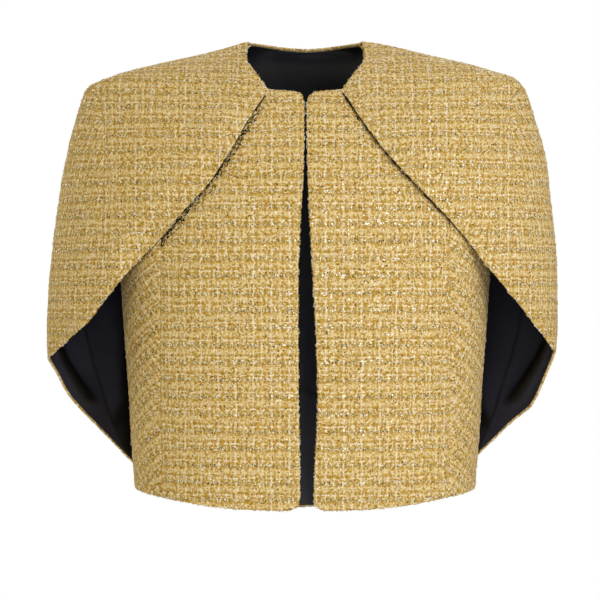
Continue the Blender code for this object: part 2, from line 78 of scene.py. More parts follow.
# A section of the cape is |x / halfWidth| ** flat + |y / depth| ** fold = 1
cape = columns(
    "height halfWidth frontDepth backDepth frontFlat backFlat fold",
    (-500, 236, 138, 113, 1.8, 2.2, 1.9),
    (-400, 262, 142, 111, 1.8, 2.2, 1.85),
    (-345, 275.5, 146, 110, 1.6, 2.2, 1.7),
    (-322, 279.5, 148, 110, 1.6, 2.2, 1.7),
    (-290, 281, 149, 111, 1.6, 2.2, 1.75),
    (-250, 280, 149, 112, 1.6, 2.2, 1.85),
    (-205, 276.8, 147, 113, 1.65, 2.2, 1.9),
    (-156, 271, 140, 112, 1.7, 2.2, 1.92),
    (-103, 263.5, 122, 108, 1.75, 2.2, 1.95),
    (-64, 253, 99, 102, 1.8, 2.1, 2),
    (-35, 244, 76.5, 95, 1.85, 2.1, 2),
    (-24, 239.5, 66.5, 90, 1.9, 2, 2),
    (-15.4, 227, 57.5, 86, 1.9, 2, 2),
    (-6.6, 200, 46.5, 81, 1.9, 2, 2),
    (2.2, 166.7, 35, 75, 2, 2, 2),
    (11, 127, 22, 68, 2, 2, 2),
    (19.8, 91, 10, 64, 2, 2, 2),
    (22.6, 79, 6, 60.5, 2, 2, 2),
    (24.2, 71, 4, 56.5, 2, 2, 2),
    (25.3, 62, 2.5, 51, 2, 2, 2),
    (26.5, 50, 1, 45, 2, 2, 2),
)
shoulders = dict(neckPoint=25.3, shoulderPoint=-23.0, backNeck=22.6, seamEnd=-252.0)
capeLean = columns(
    "height lean",
    (-500, -2), (-430, -4), (-341, -4.2), (-300, -3.3), (-250, -2.5),
    (-205, -1), (-150, 0), (-104, 1.5), (-64, 0.5), (-23, 0), (-15.4, 3.5),
    (-6.6, 6.3), (2.2, 7), (16, 7), (22.6, 4), (25.3, 0), (26.5, 0),
)
neckline = columns(
    "height halfWidth",
    (-35.3, 39.5), (-30.6, 40.8), (-20.6, 47.4), (-10.4, 56.3),
    (-0.4, 62.6), (9.4, 65.3), (19.8, 63.8), (25.3, 62),
)
slantingEdge = columns(
    "height left right",
    (-252, 202, 218), (-219, 177.4, 193.6), (-188, 145.4, 169.2),
    (-164, 125, 144.6), (-136, 100.5, 117.6), (-105, 81.8, 90),
    (-68, 61.4, 62.2), (-35.3, 39.5, 39.5),
)
frontSeam = columns(     # how far it lies before the shoulder line
    "height left right",
    (-205, 84, 79), (-150, 76, 70), (-90, 60, 56),
    (-45, 35, 35), (-34.5, 25, 25), (-27, 13, 13), (-23, 0, 0),
)
backSeam = columns(      # how far it lies behind the shoulder line
    "height behind",
    (-437, 70), (-393, 62), (-338, 55), (-289, 50), (-205, 47),
    (-150, 44), (-90, 41), (-46, 34), (-35, 25), (-27, 13), (-23, 0),
)
settled = columns(       # how far the cloth has sunk beside the shoulder seam
    "across sink",
    (-250, 2.2), (-234, 2.9), (-215, 2.8), (-198, 1.7), (-85, 1.5), (-65, 0.6),
    (-58, 0), (60, 0), (75, 0.3), (185, 0.6), (205, 1.2), (225, 0.8), (250, 0),
)
neckLift = columns(      # how far the back neck's edge is raised
    "across lift", (0, 1), (20, 1.6), (35, 2.4), (48, 2.4), (56, 1.4), (61, 0),
)
sideHem = columns(
    "behind left right",
    (-71, -284, -264), (-55, -298, -284.5), (-45, -306.5, -294),
    (-29, -315.5, -307), (-20, -319.5, -312.5), (0, -325, -318),
    (8, -331, -328.5), (16, -341.5, -347.5), (22, -355, -365),
    (29, -368.5, -378.5), (39.5, -382.5, -388.5), (49, -396, -399),
    (57, -410, -412.5), (64, -424, -425), (70, -437, -437),
)
backHem = columns(
    "halfWidth height",
    (0, -497), (60, -494), (110, -486.5), (140, -477.5),
    (163, -466), (181, -453), (196.6, -437),
)

# The jacket under it
jacket = columns(
    "height halfWidth depth flat fold",
    (-480, 185.5, 134, 2.6, 2.4), (-430, 189, 136.5, 2.6, 2.4),
    (-355, 193.7, 139, 2.6, 2.4), (-290, 198.5, 140, 2.6, 2.4),
    (-240, 201.6, 140, 2.6, 2.4), (-190, 206, 137, 2.5, 2.35),
    (-150, 212, 127.5, 2.4, 2.2), (-103, 222, 109.5, 2.2, 2.1),
    (-64, 232, 90, 2, 2), (-40, 236, 74.5, 1.9, 2),
    (-28.6, 234, 62, 1.9, 2), (-20, 222, 51, 1.9, 2),
    (-11.2, 196, 41, 1.9, 2), (-2.4, 163, 29.5, 2, 2),
    (6.4, 123, 16.5, 2, 2), (15.2, 88, 5.5, 2, 2), (20.9, 60, 1, 2, 2),
)
frontNeck = columns(     # by row of the front's chart
    "row left right height",
    (0, 61, 61, 20.6), (1, 64, 64, 16), (2, 64.2, 64.2, 3),
    (3, 55.5, 55.5, -13.5), (4, 40, 40, -33.2), (5, 23, 24, -35),
    (6, 9, 11.5, -36.6), (7, 3.4, 6.2, -40), (8, 1.4, 2.2, -48.5),
)
middleEdge = columns(
    "height left right",
    (-480, 5.5, 8.3), (-435, 5.8, 9.9), (-400, 6.3, 11.8), (-365, 7, 12.9),
    (-310, 7.3, 11.7), (-240, 7.5, 8.2), (-185, 5.5, 5.1), (-130, 2.5, 2.7),
    (-60, 1.1, 1.8), (-38, 1.8, 2.6),
)
frontHem = columns(
    "halfWidth height",
    (0, -480), (60, -479), (98, -476.5), (130, -472), (152, -468.5),
)
princessSeam = columns(
    "height halfWidth",
    (-480, 152), (-300, 154), (-200, 153), (-150, 157), (-118, 162),
    (-60, 167), (0, 165),
)
armhole = columns("along height", (0, -118), (0.25, -168), (0.5, -198), (0.75, -202), (1, -186))
sideFrontHem = columns("along height", (0, -468.5), (0.3, -465), (0.6, -463), (1, -465))
fronts = dict(
    rows=20, armholeRows=6, necklineRows=8, armholeTop=-9.6, armholeFoot=-118.0,
    corner=14.0,                       # radius of the lower corners
    sideBackSeam=160.0,
)
ease = dict(drop=2.3, neck=1.4)      # chart rows crowd towards the shoulder


def sideName(side):
    return "left" if side < 0 else "right"


def stack(*parts):
    return np.stack(np.broadcast_arrays(*parts), -1).astype(float)


def split(points):
    return np.moveaxis(points, -1, 0)


def between(start, end, t, crowd=1.0):
    return start + (end - start) * t ** crowd


def smooth(share):
    share = np.clip(share, 0, 1)
    return share * share * (3 - 2 * share)


def bell(far, width):
    return np.exp(-(far / width) ** 2)


def rest(ratio, power, root):
    # the other coordinate's ratio on a section
    return np.maximum(0, 1 - np.minimum(1, np.abs(ratio)) ** power) ** (1 / root)


def capeSection(behind, height):
    depth = np.where(behind, read(cape, "backDepth", height), read(cape, "frontDepth", height))
    flat = np.where(behind, read(cape, "backFlat", height), read(cape, "frontFlat", height))
    return read(cape, "halfWidth", height), depth, flat, read(cape, "fold", height)


def lean(height):
    return read(capeLean, "lean", height)


def capeFrontPoint(x, height):
    half, depth, flat, fold = capeSection(False, height)
    return stack(x, -depth * rest((x - lean(height)) / half, flat, fold), height)


def capeBackPoint(x, height):
    half, depth, flat, fold = capeSection(True, height)
    return stack(x, depth * rest((x - lean(height)) / half, flat, fold), height)


def capeSidePoint(side, y, height):
    half, depth, flat, fold = capeSection(y >= 0, height)
    return stack(lean(height) + side * half * rest(y / depth, fold, flat), y, height)


def capeLevel(points):
    x, y, z = split(points)
    half, depth, flat, fold = capeSection(y >= 0, z)
    return (np.abs(x - lean(z)) / half) ** flat + (np.abs(y) / depth) ** fold


def outward(level, points):
    # unit normals of a level surface
    slope = np.stack([level(points + step) - level(points - step) for step in 0.25 * np.eye(3)], -1)
    return slope / np.linalg.norm(slope, axis=-1, keepdims=True)


def sideBackSeamPoint(height):
    # where the jacket's side comes to rest inside the back lining
    point = capeBackPoint(np.full_like(height, fronts["sideBackSeam"]), height)
    layers = cloth["tweed"] + 2 * cloth["space"] + cloth["satin"]
    return point - outward(capeLevel, point) * layers


seamHeights = np.arange(-520.0, 40.0, 5.0)
seamSpots = sideBackSeamPoint(seamHeights)
sideBackSeam = dict(height=seamHeights, x=seamSpots[:, 0], y=seamSpots[:, 1])


def jacketSection(behind, height):
    half = read(jacket, "halfWidth", height)
    depth = read(jacket, "depth", height)
    flat, fold = read(jacket, "flat", height), read(jacket, "fold", height)
    seamX, seamY = read(sideBackSeam, "x", height), read(sideBackSeam, "y", height)
    behind = behind & (height <= fronts["armholeFoot"])
    backDepth = seamY / np.maximum(rest(seamX / half, 2, 2), 0.05)
    return half, np.where(behind, backDepth, depth), np.where(behind, 2, flat), np.where(behind, 2, fold)


def jacketFrontPoint(x, height):
    half, depth, flat, fold = jacketSection(False, height)
    return stack(x, -depth * rest(x / half, flat, fold), height)


def jacketLevel(points):
    x, y, z = split(points)
    half, depth, flat, fold = jacketSection(y > 0, z)
    return (np.abs(x) / half) ** flat + (np.abs(y) / depth) ** fold


def mix(start, end, share):
    return start + (end - start) * np.asarray(share)[..., None]


def patch(top, bottom, leftEdge, rightEdge, crowd=1.0):
    # a flat chart between four edges
    zero, one = np.zeros(1), np.ones(1)

    def chart(u, v):
        w = v ** crowd
        down = mix(top(u), bottom(u), w)
        across = mix(leftEdge(v), rightEdge(v), u)
        corners = mix(mix(top(zero), top(one), u), mix(bottom(zero), bottom(one), u), w)
        return down + across - corners
    return chart


def laidOn(pointAt, *edges):
    # a patch laid on a surface
    chart = patch(*edges)
    return lambda u, v: pointAt(*split(chart(u, v)))


def cloudy(u, v, size, seed):
    # smooth random values from 0 to 1, about one size apart
    values = np.random.default_rng(seed).random((64, 64))
    x, y = u / size, v / size
    i, j = np.floor(x).astype(int), np.floor(y).astype(int)
    s, t = smooth(x - i), smooth(y - j)
    low = values[j % 64, i % 64] * (1 - s) + values[j % 64, (i + 1) % 64] * s
    high = values[(j + 1) % 64, i % 64] * (1 - s) + values[(j + 1) % 64, (i + 1) % 64] * s
    return low * (1 - t) + high * t


def lengthAlong(points, axis):
    # distance along the grid's lines from their start
    steps = np.linalg.norm(np.diff(points, axis=axis), axis=-1)
    start = np.zeros_like(np.take(steps, [0], axis))
    return np.concatenate([start, np.cumsum(steps, axis)], axis)


def evenSteps(place, axis, cell, radius):
    # parameters about one cell apart on the cloth, with finer ones that round both edges
    dense = np.linspace(0, 1, 240)
    lines = []
    for cross in (0.03, 0.35, 0.65, 0.97):
        other = np.full_like(dense, cross)
        lines.append(lengthAlong(place(dense, other) if axis == 1 else place(other, dense), 0))
    mean = np.mean(lines, axis=0)
    total = mean[-1]
    count = max(4, round(max(line[-1] for line in lines) / cell))
    inside = np.linspace(0, total, count + 1)
    inside = inside[(inside > 1.6 * radius) & (inside < total - 1.6 * radius)]
    turn = radius * (1 - np.cos(np.radians([0, 30, 55, 75, 90])))
    return np.interp(np.concatenate([turn, inside, total - turn[::-1]]), mean, dense)


def whole(collection, field):
    # a field of whole numbers as an array
    found = np.zeros(len(collection), int)
    collection.foreach_get(field, found)
    return found


def clothMesh(name, outer, inner, guide, uv, lined, fold):
    # a closed wall: a grid laid on the outer points, then extruded to the inner ones
    rows, cols = outer.shape[0] - 1, outer.shape[1] - 1
    count = (rows + 1) * (cols + 1)
    outside = [tuple(p) for p in (outer.reshape(-1, 3) * mm)]
    inside = [tuple(p) for p in (inner.reshape(-1, 3) * mm)]
    bm = bmesh.new()
    bmesh.ops.create_grid(bm, x_segments=cols, y_segments=rows, size=0.5)
    spot = bm.verts.layers.int.new("spot")
    for vert in bm.verts:
        vert[spot] = round((vert.co.y + 0.5) * rows) * (cols + 1) + round((vert.co.x + 0.5) * cols)
        vert.co = outside[vert[spot]]
    faces = list(bm.faces)
    middle = faces[len(faces) // 2]
    middle.normal_update()
    if middle.normal.dot(Vector(guide.reshape(-1, 3)[middle.verts[0][spot]])) < 0:
        bmesh.ops.reverse_faces(bm, faces=faces)
    wall = bmesh.ops.extrude_face_region(bm, geom=faces)
    for vert in wall["geom"]:
        if isinstance(vert, bmesh.types.BMVert):
            vert.co = inside[vert[spot]]
            vert[spot] += count
    bmesh.ops.recalc_face_normals(bm, faces=bm.faces)
    data = bpy.data.meshes.new(name)
    bm.to_mesh(data)
    bm.free()
    spots = whole(data.attributes["spot"].data, "value")
    corners = whole(data.loops, "vertex_index")
    layer = data.uv_layers.new(name="weave")
    layer.data.foreach_set("uv", (uv.reshape(-1, 2)[spots[corners] % count] * mm).ravel())
    if lined is not None:
        starts = whole(data.polygons, "loop_start")
        within = (spots >= count) & lined.ravel()[spots % count]
        slots = np.minimum.reduceat(within[corners].astype(int), starts)
        data.polygons.foreach_set("material_index", slots)
    # a lining's painted shade, kept as the fold attribute that darkens the satin
    if fold is not None:
        layer = data.attributes.new("fold", "FLOAT", "POINT")
        layer.data.foreach_set("value", fold.ravel()[spots % count])
    data.attributes.remove(data.attributes["spot"])
    data.shade_smooth()
    return data


settling = dict(deep=70.0, foot=-90.0, fade=60.0, liftFade=20.0)


def settle(points):
    # lower beside the shoulder seams, and a little higher beside the back of the neck
    x, y, z = split(points)
    low = smooth((z - settling["foot"]) / settling["fade"])
    sink = read(settled, "sink", np.clip(x, -250, 250)) * smooth(1 - np.abs(y) / settling["deep"]) * low
    high = smooth(z / settling["liftFade"]) * (y > 0)
    lift = np.interp(np.abs(x), neckLift["across"], neckLift["lift"]) * high
    return points + stack(0 * sink, 0 * sink, lift - sink)


def added(name, data):
    piece = bpy.data.objects.new(name, data)
    bpy.context.scene.collection.objects.link(piece)
    return piece


surfaces = {}     # the points of each panel, for the yarn that stands on it


def panel(name, place, level, uvAt, look, cell=None, thickness=None, under=0.0, relief=None,
          facing=None, foldAt=None, drape=None):
    # one cut piece of cloth as a rounded wall on its surface
    cell = cell or cloth["cell"]
    thickness = thickness or cloth["tweed"]
    radius = thickness / 2
    u, v = np.meshgrid(evenSteps(place, 1, cell, radius), evenSteps(place, 0, cell, radius))
    points = place(u, v)
    normals = outward(level, points)
    across, down = lengthAlong(points, 1), lengthAlong(points, 0)
    fromEdges = np.stack([across, across[:, -1:] - across, down, down[-1:] - down], -1)
    if drape is not None:
        points = points + normals * drape(points, fromEdges)[..., None]
    if level is capeLevel:
        points = settle(points)
    nearest = fromEdges.min(-1)
    short = radius - np.minimum(nearest, radius)
    sink = (radius - np.sqrt(np.maximum(radius ** 2 - short ** 2, 0))) * (1 - cloth["rim"] / thickness)
    uv = uvAt(points)
    raised = relief(points, uv, fromEdges) if relief else 0 * sink
    outer = points - normals * (under + sink - raised)[..., None]
    inner = points - normals * (under + thickness - sink - np.minimum(raised, 0))[..., None]
    lined = None if facing is None else facing(fromEdges)
    # a lining's painted shade, 0 to 1, kept as its fold attribute
    fold = None if foldAt is None else foldAt(points, fromEdges)
    surfaces[name] = dict(outer=outer, inner=inner, normals=normals, across=across, down=down)
    data = clothMesh(name, outer, inner, normals, uv, lined, fold)
    for material in look:
        data.materials.append(material)
    piece = added(name, data)
    falling, rising = points[1:, 1:] - points[:-1, :-1], points[1:, :-1] - points[:-1, 1:]
    doubled = np.linalg.norm(np.cross(falling, rising), axis=-1)
    piece["flatArea"] = float(doubled.sum() / 2) * mm * mm
    piece["flatSize"] = [float(np.ptp(uv[..., 0])) * mm, float(np.ptp(uv[..., 1])) * mm]
    return piece


loose = dict(
    every=dict(back=260.0, cape=50.0, centre=115.0, side=115.0),   # square millimetres for each curl
    edgeEvery=1.7,                     # millimetres of free edge for each curl
    radius=(0.16, 0.30), length=(2.6, 6.5), rise=(0.5, 1.3), swing=0.7, sink=0.35, tilt=0.35,
    edgeWidth=(1.2, 3.2), edgeRise=(0.4, 2.0), points=4,
    skip=6,                            # rows of points beside an edge that have no curls
)


def unit(vectors):
    return vectors / np.maximum(np.linalg.norm(vectors, axis=-1, keepdims=True), 1e-9)


def surfaceCurls(surface, every, rng):
    # small arcs of yarn anywhere on the cloth, along either yarn direction
    points, normals, skip = surface["outer"], surface["normals"], loose["skip"]
    area = surface["across"][:, -1].mean() * surface["down"][-1].mean()
    count = max(8, round(area / every))
    i = rng.integers(skip, points.shape[0] - skip - 1, count)
    j = rng.integers(skip, points.shape[1] - skip - 1, count)
    right, down = points[i, j + 1] - points[i, j], points[i + 1, j] - points[i, j]
    root = points[i, j] + right * rng.random((count, 1)) + down * rng.random((count, 1))
    turn = rng.normal(0, loose["tilt"], (count, 1))
    turn = turn + np.where(rng.random((count, 1)) < 0.5, 0, math.pi / 2)
    normal = normals[i, j]
    aside = unit(right)
    along = aside * np.cos(turn) + np.cross(normal, aside) * np.sin(turn)
    return root, along, normal, np.cross(normal, along)


def edgeCurls(surface, edge, rng):
    # loops that stand out of a free edge
    outer, skip = surface["outer"], loose["skip"]
    rim, inward = {"start": (outer[:, 0], outer[:, skip - 1]), "bottom": (outer[-1], outer[-skip])}[edge]
    length = np.linalg.norm(np.diff(rim, axis=0), axis=-1).sum()
    k = rng.integers(2, len(rim) - 3, round(length / loose["edgeEvery"]))
    step = rim[k + 1] - rim[k]
    root = rim[k] + step * rng.random((len(k), 1))
    out = unit(rim[k] - inward[k])
    along = unit(step)
    return root, along, unit(out + rng.normal(0, loose["tilt"], out.shape)), np.cross(out, along)


def newCurve(name, radius, roundness):
    curve = bpy.data.curves.new(name, "CURVE")
    curve.dimensions = "3D"
    curve.bevel_depth = radius * mm
    curve.bevel_resolution = roundness
    curve.use_fill_caps = True
    return curve


def tubes(name, lanes, radii, material):
    # one mesh of thin strands along lanes of points
    curve = newCurve(name, 1, 0)
    for lane, radius in zip(lanes, radii):
        spline = curve.splines.new("POLY")
        spline.points.add(len(lane) - 1)
        spline.points.foreach_set("co", np.column_stack([lane * mm, np.ones(len(lane))]).ravel())
        spline.points.foreach_set("radius", np.broadcast_to(radius, len(lane)).astype(float))
    holder = added(name + "Curve", curve)
    bpy.context.view_layer.update()
    data = bpy.data.meshes.new_from_object(holder.evaluated_get(bpy.context.evaluated_depsgraph_get()))
    bpy.data.objects.remove(holder)
    data.name = name
    data.materials.clear()
    data.materials.append(material)
    data.shade_smooth()
    piece = added(name, data)
    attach(piece, "root")
    return piece


def yarnCurls(name, edges, seed):
    # the curls on a panel
    surface, rng = surfaces[name], np.random.default_rng(seed)
    every = next(size for start, size in loose["every"].items() if name.startswith(start))
    sets = [(surfaceCurls(surface, every, rng), loose["length"], loose["rise"])]
    sets += [(edgeCurls(surface, edge, rng), loose["edgeWidth"], loose["edgeRise"]) for edge in edges]
    share = np.linspace(-0.5, 0.5, loose["points"])
    arc, sway = np.cos(share * math.pi)[:, None], np.sin(2 * math.pi * share)[:, None]
    lanes, radii = [], []
    for (root, along, rise, aside), lengths, rises in sets:
        count = len(root)
        length, high = rng.uniform(*lengths, (count, 1)), rng.uniform(*rises, (count, 1))
        swing = rng.normal(0, loose["swing"], (count, 1))
        radii.extend(rng.uniform(*loose["radius"], count))
        for n in range(count):
            lanes.append(root[n] + along[n] * length[n] * share[:, None] + aside[n] * swing[n] * sway
                         + rise[n] * (high[n] * arc - loose["sink"]))
    return tubes(name + "Yarn", lanes, radii, looseYarn)


def declare(piece, node, freeEdges=(), seed=None, withPieces=()):
    yarn = [] if seed is None else [yarnCurls(piece.name, freeEdges, seed)]
    width, length = piece["flatSize"]
    area = piece["flatArea"]
    if area > width * length:
        length = area / width
    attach(piece, "root")
    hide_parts(node)
    del piece["flatSize"], piece["flatArea"]
    print("made", piece.name, "with", len(piece.data.polygons), "faces")


def grain(pointAt, axis, level):
    # cloth coordinates: distance across from the middle, and down along the cloth
    shares = np.linspace(0, 1, 14)[:, None, None]

    def uvAt(points):
        across, z = points[..., axis], points[..., 2]
        acrossLine = pointAt(*np.broadcast_arrays(across * shares, z))
        downLine = pointAt(*np.broadcast_arrays(across, between(level, z, 1 - (1 - shares) ** 2)))
        u, v = (np.linalg.norm(np.diff(line, axis=0), axis=-1).sum(0) for line in (acrossLine, downLine))
        return stack(u * np.sign(across), v * np.sign(z - level))
    return uvAt


def turned(uvAt, degrees):
    c, s = math.cos(math.radians(degrees)), math.sin(math.radians(degrees))

    def turnedUv(points):
        uv = uvAt(points)
        return stack(uv[..., 0] * c - uv[..., 1] * s, uv[..., 0] * s + uv[..., 1] * c)
    return turnedUv


# Seams and edges that two panels share

def ridge(side, t):
    # shoulder seam from the neck point (0) to the shoulder point (1)
    height = between(shoulders["neckPoint"], shoulders["shoulderPoint"], t)
    return stack(lean(height) + side * read(cape, "halfWidth", height), height)


def frontSeamAt(side, t):
    # y and height from the shoulder (0) to the slanting edge (1)
    name, end = sideName(side), shoulders["seamEnd"]
    height = between(shoulders["shoulderPoint"], end, t, ease["drop"])
    start = frontSeam["height"][0]
    endX = read(slantingEdge, name, end)
    endY = -capeFrontPoint(endX, end)[..., 1]
    share = (height - start) / (end - start)
    low = frontSeam[name][0] * (1 - share) + endY * share
    return -np.where(height < start, low, read(frontSeam, name, height)), height


def backSeamAt(t):
    end = backSeam["height"][0]
    height = between(shoulders["shoulderPoint"], end, t, ease["drop"])
    return read(backSeam, "behind", height), height


def sideHemAt(side, t):
    startY = float(frontSeamAt(side, np.ones(1))[0][0])
    table = dict(behind=np.concatenate([[startY], sideHem["behind"]]),
                 height=np.concatenate([[shoulders["seamEnd"]], sideHem[sideName(side)]]))
    y = np.where(t < 0.5, startY * (1 - 2 * t), table["behind"][-1] * (2 * t - 1))
    return y, read(table, "height", y)


trough = dict(
    depth=5.0, behind=18.0, slope=0.46, level=-311.0, halfWidth=9.5,
    top=-262.0, full=-320.0, foot=-384.0, footFade=14.0,
)
# painted shade: the satin is painted darker along its seams
seamShade = 1.6      # how far beside a seam the satin is darker


def troughAt(points):
    # the soft dip of the cloth behind each tip
    y, z = points[..., 1], points[..., 2]
    reach = (trough["top"] - z) / (trough["top"] - trough["full"])
    middle = trough["behind"] + trough["slope"] * (trough["level"] - z)
    dip = bell(y - middle, trough["halfWidth"])
    fade = np.clip((z - trough["foot"]) / trough["footFade"], 0, 1)
    return np.where(y > 0, trough["depth"] * smooth(reach) * dip * fade, 0)


def sideLiningPaintedShade(points, fromEdges):
    # painted shade on the side lining, 0 to 1: darkest in the trough's fold and along its back seam
    seam = bell(fromEdges[..., 1], seamShade)
    return np.maximum(smooth(troughAt(points) / trough["depth"] * 1.5 - 0.35), 0.8 * seam)


# where the back lining is painted darker, and how strongly
backShade = dict(
    seam=0.9, low=1.2, lowAcross=206.0, lowLevel=-390.0, lowSlant=0.35, lowWidth=7.5, lowTall=20.0,
    closeReach=212.0, closeTop=-120.0, closeFoot=-500.0, closeStart=40.0,
    waist=0.8, waistLevel=-362.0, waistSlant=0.5, waistWidth=4.0, waistReach=30.0,
    neck=0.52, neckStreaks=0.33, neckRight=0.2, neckFoot=-95.0, neckReach=90.0, streakSize=17.0,
)


def backLiningPaintedShade(points, fromEdges):
    # painted shade on the back lining, 0 to 1: dark seam lines, the fold low beside each seam, the shadow
    # close behind the jacket, a crease at the waist, and darkening streaks inside the neck
    across, z = points[..., 0], points[..., 2]
    x, b = np.abs(across - lean(z)), backShade
    seam = b["seam"] * bell(fromEdges[..., :2].min(-1), seamShade)
    low = b["low"] * bell(x - b["lowAcross"] + (z - b["lowLevel"]) * b["lowSlant"], b["lowWidth"])
    low = low * bell(z - b["lowLevel"] + 2, b["lowTall"])
    close = smooth((b["closeReach"] - x) / 14) * smooth((x - b["closeStart"]) / 120)
    close = close * (z < b["closeTop"]) * smooth((z - b["closeFoot"]) / 90)
    waist = bell(z - b["waistLevel"] + b["waistSlant"] * (x - 4), b["waistWidth"])
    waist = b["waist"] * waist * smooth((b["waistReach"] - x) / 20)
    streaks = cloudy(across + 0.35 * z + 600, 0.25 * z + 600, b["streakSize"], 31)
    neck = b["neck"] + b["neckStreaks"] * streaks + b["neckRight"] * smooth(across / 55)
    neck = neck * smooth((z - b["neckFoot"]) / 60) * (x < b["neckReach"])
    return np.max([seam, low, close, waist, neck], axis=0).clip(0, 1)


drapeFolds = dict(
    depth=5.0, least=0.4, top=-90.0, full=-420.0, seamFade=60.0,
    apart=62.0, spread=0.0004, wander=26.0, wanderSize=150.0, tallSize=70.0,
)


def backDrape(points, fromEdges):
    # shallow folds that open downwards across the back
    f = drapeFolds
    x, z = points[..., 0], points[..., 2]
    wander = f["wander"] * (cloudy(x + 700, z + 900, f["wanderSize"], 21) - 0.5)
    wave = 0.5 - 0.5 * np.cos((x * (1 - f["spread"] * z) + wander) * 2 * math.pi / f["apart"])
    tall = f["least"] + (1 - f["least"]) * cloudy(x + 700, 0 * z + 300, f["tallSize"], 22)
    opens = smooth((f["top"] - z) / (f["top"] - f["full"]))
    return f["depth"] * wave * tall * opens * smooth(fromEdges[..., :2].min(-1) / f["seamFade"])


tweedRelief = dict(
    ripple=1.1, rippleSize=70.0, nub=0.9, nubSize=(6.0, 11.0), calm=6.0,      # calm near the edges
    seam=0.6, seamWidth=3.2,
)


def ripple(points):
    # the slow unevenness of worn cloth, the same on both sides of a seam
    x, y, z = split(points)
    return cloudy(x + 0.7 * y + 900, z + 0.4 * y + 900, tweedRelief["rippleSize"], 5) - 0.5


def nubs(uv):
    # thick and thin places of the yarns
    (u, v), (small, large) = split(uv + 2000), tweedRelief["nubSize"]
    return 0.6 * cloudy(u, v * 1.4, small, 11) + 0.4 * cloudy(u * 1.3, v, large, 12) - 0.5


def tweedSurface(points, uv, fromEdges, seams=()):
    calm = np.minimum(1, fromEdges.min(-1) / tweedRelief["calm"])
    raised = (tweedRelief["ripple"] * ripple(points) + tweedRelief["nub"] * nubs(uv)) * calm
    if seams:
        fromSeam = fromEdges[..., seams].min(-1)
        raised -= tweedRelief["seam"] * bell(fromSeam, tweedRelief["seamWidth"])
    return raised


def sideSurface(points, uv, fromEdges):
    return seamedSurface(points, uv, fromEdges) - troughAt(points)


def bodySurface(points, uv, fromEdges):
    return tweedSurface(points, uv, fromEdges, (1,))


def seamedSurface(points, uv, fromEdges):
    return tweedSurface(points, uv, fromEdges, (0, 1))


pressed = dict(depth=3.2, start=15.0, width=21.0, square=0.72,      # square to the slanting edge
               top=-50.0, topFade=30.0, foot=-235.0, footFade=40.0)


def pressedAt(x, height):
    # how far the cape's slanting edge presses the jacket front in
    edge = np.where(x > 0, read(slantingEdge, "right", height), read(slantingEdge, "left", height))
    p, under = pressed, (np.abs(x) - edge) * pressed["square"]
    ends = smooth((p["top"] - height) / p["topFade"]) * smooth((height - p["foot"]) / p["footFade"])
    return p["depth"] * smooth((under + p["start"]) / p["width"]) * ends


hemTurn = dict(depth=4.0, top=-434.0, height=46.0, reach=150.0, fade=60.0)


def frontSurface(points, uv, fromEdges):
    x, z = points[..., 0], points[..., 2]
    turnedIn = np.clip((hemTurn["top"] - z) / hemTurn["height"], 0, 1) ** 2
    turnedIn = hemTurn["depth"] * turnedIn * smooth((hemTurn["reach"] - np.abs(x)) / hemTurn["fade"])
    return bodySurface(points, uv, fromEdges) - pressedAt(x, z) - turnedIn


# Materials

def feed(made, inputs):
    # link sockets, and set plain values
    for key, value in inputs.items():
        if isinstance(value, bpy.types.NodeSocket):
            made.id_data.links.new(value, made.inputs[key])
        else:
            made.inputs[key].default_value = value


def node(tree, kind, inputs=(), **settings):
    made = tree.nodes.new("ShaderNode" + kind)
    for key, value in settings.items():
        setattr(made, key, value)
    feed(made, dict(inputs))
    return made


def newMaterial(name, rough=0.5, metal=0.0, specular=0.5):
    material = bpy.data.materials.new(name)
    material.use_nodes = True
    shader = material.node_tree.nodes["Principled BSDF"]
    feed(shader, {"Roughness": rough, "Metallic": metal, "Specular IOR Level": specular})
    return material, shader, material.node_tree


def calc(operation, a, b=0.0):
    tree = (a if isinstance(a, bpy.types.NodeSocket) else b).id_data
    return node(tree, "Math", {0: a, 1: b}, operation=operation).outputs[0]


def plus(a, *others):
    for other in others:
        a = calc("ADD", a, other)
    return a


def times(a, *others):
    for other in others:
        a = calc("MULTIPLY", a, other)
    return a


def minus(a, b):
    return calc("SUBTRACT", a, b)


def noise(place, scale, detail=1.0, rough=0.5, dimensions="2D"):
    inputs = {"Vector": place, "Scale": scale, "Detail": detail, "Roughness": rough}
    return node(place.id_data, "TexNoise", inputs, noise_dimensions=dimensions).outputs["Fac"]


def ramp(value, low, high):
    # 0 at low, 1 at high
    inputs = {"Value": value, "From Min": low, "From Max": high}
    return node(value.id_data, "MapRange", inputs, interpolation_type="SMOOTHSTEP").outputs["Result"]


def blend(share, a, b):
    # colour a where the share is 0, b where it is 1
    a, b = (value if isinstance(value, bpy.types.NodeSocket) else (*value, 1) for value in (a, b))
    return node(share.id_data, "Mix", {0: share, 6: a, 7: b}, data_type="RGBA").outputs[2]


def stretched(place, across, down):
    return node(place.id_data, "Mapping", {"Vector": place, "Scale": (across, down, 1.0)}).outputs[0]


def bumps(height, strength, distance):
    inputs = {"Height": height, "Strength": strength, "Distance": distance}
    return node(height.id_data, "Bump", inputs).outputs[0]


def weave(tree):
    return node(tree, "UVMap", uv_map="weave").outputs["UV"]


def inObject(tree):
    return node(tree, "TexCoord").outputs["Object"]


def colour(red, green, blue):
    # screen colour as the renderer's linear values
    shares = (value / 255 for value in (red, green, blue))
    return tuple(c / 12.92 if c < 0.0405 else ((c + 0.055) / 1.055) ** 2.4 for c in shares)


